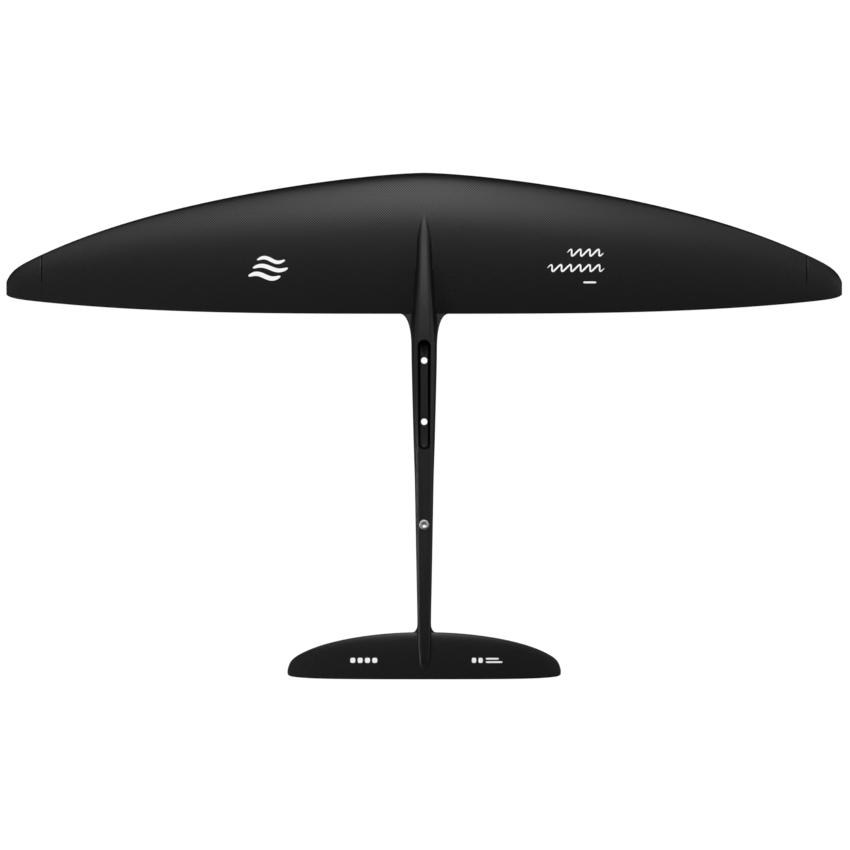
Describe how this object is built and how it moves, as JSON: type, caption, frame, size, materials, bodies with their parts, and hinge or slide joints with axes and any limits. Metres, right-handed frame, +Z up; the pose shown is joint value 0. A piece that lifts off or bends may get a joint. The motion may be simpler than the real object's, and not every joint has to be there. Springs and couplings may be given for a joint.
{
  "type": "hydrofoil mast wing",
  "caption": "Carbon hydrofoil plane: a swept front wing moulded with its fuselage, a tapered mast pocket, and a stabiliser tail held by one clamp screw.",
  "frame": {"origin": "centre of the flat floor of the mast pocket, halfway between the two bolt holes", "axes": "+Z up out of the mast pocket along the mast, +Y forward to the nose of the front wing, +X to the right-hand wing tip seen from above"},
  "size_m": [1.142, 0.6918, 0.0486],
  "materials": {
    "woven_carbon": "satin clear coat over fine plain-weave carbon, near black",
    "moulded_laminate": "moulded carbon laminate, matt black",
    "core_foam": "closed-cell structural foam, matt cream",
    "stainless_steel": "bright turned stainless steel",
    "anodised_alloy": "hard anodised, dark grey"
  },
  "bodies": {
    "plane": {"plane_shell_upper": "woven_carbon", "plane_shell_lower": "woven_carbon", "wing_spar": "moulded_laminate", "wing_core_front_left": "core_foam", "wing_core_front_right": "core_foam", "wing_core_rear_left": "core_foam", "wing_core_rear_right": "core_foam", "fuselage_core": "core_foam", "mast_socket": "moulded_laminate", "mast_bolt_seat_front": "stainless_steel", "mast_bolt_seat_rear": "stainless_steel", "tail_socket_liner": "moulded_laminate", "tail_screw_nut": "stainless_steel", "wing_tip_left": "woven_carbon", "wing_tip_right": "woven_carbon"},
    "tail": {"tail_shell_upper": "woven_carbon", "tail_shell_lower": "woven_carbon", "tail_spigot": "anodised_alloy", "tail_boom_core": "core_foam", "stabiliser_spar": "moulded_laminate", "stabiliser_core_left": "core_foam", "stabiliser_core_right": "core_foam"},
    "tail_screw_washer": {"tail_screw_washer": "stainless_steel"},
    "tail_screw": {"tail_screw": "stainless_steel"}
  },
  "joints": [
    {"name": "tail_slide", "type": "slide", "parent": "plane", "child": "tail", "axis": [0, -1, 0], "range_m": [0, 0.045]},
    {"name": "tail_screw_travel", "type": "slide", "parent": "plane", "child": "tail_screw_washer", "axis": [0, 0, 1], "range_m": [0, 0.0075]},
    {"name": "tail_screw_turn", "type": "hinge", "parent": "tail_screw_washer", "child": "tail_screw", "pos_m": [0, -0.1823, 0.0104], "axis": [0, 0, 1], "range_deg": [0, 2160]}
  ],
  "couplings": [
    {"joint": "tail_screw_travel", "follows": "tail_screw_turn", "m_per_rad": 0.00019894}
  ]
}
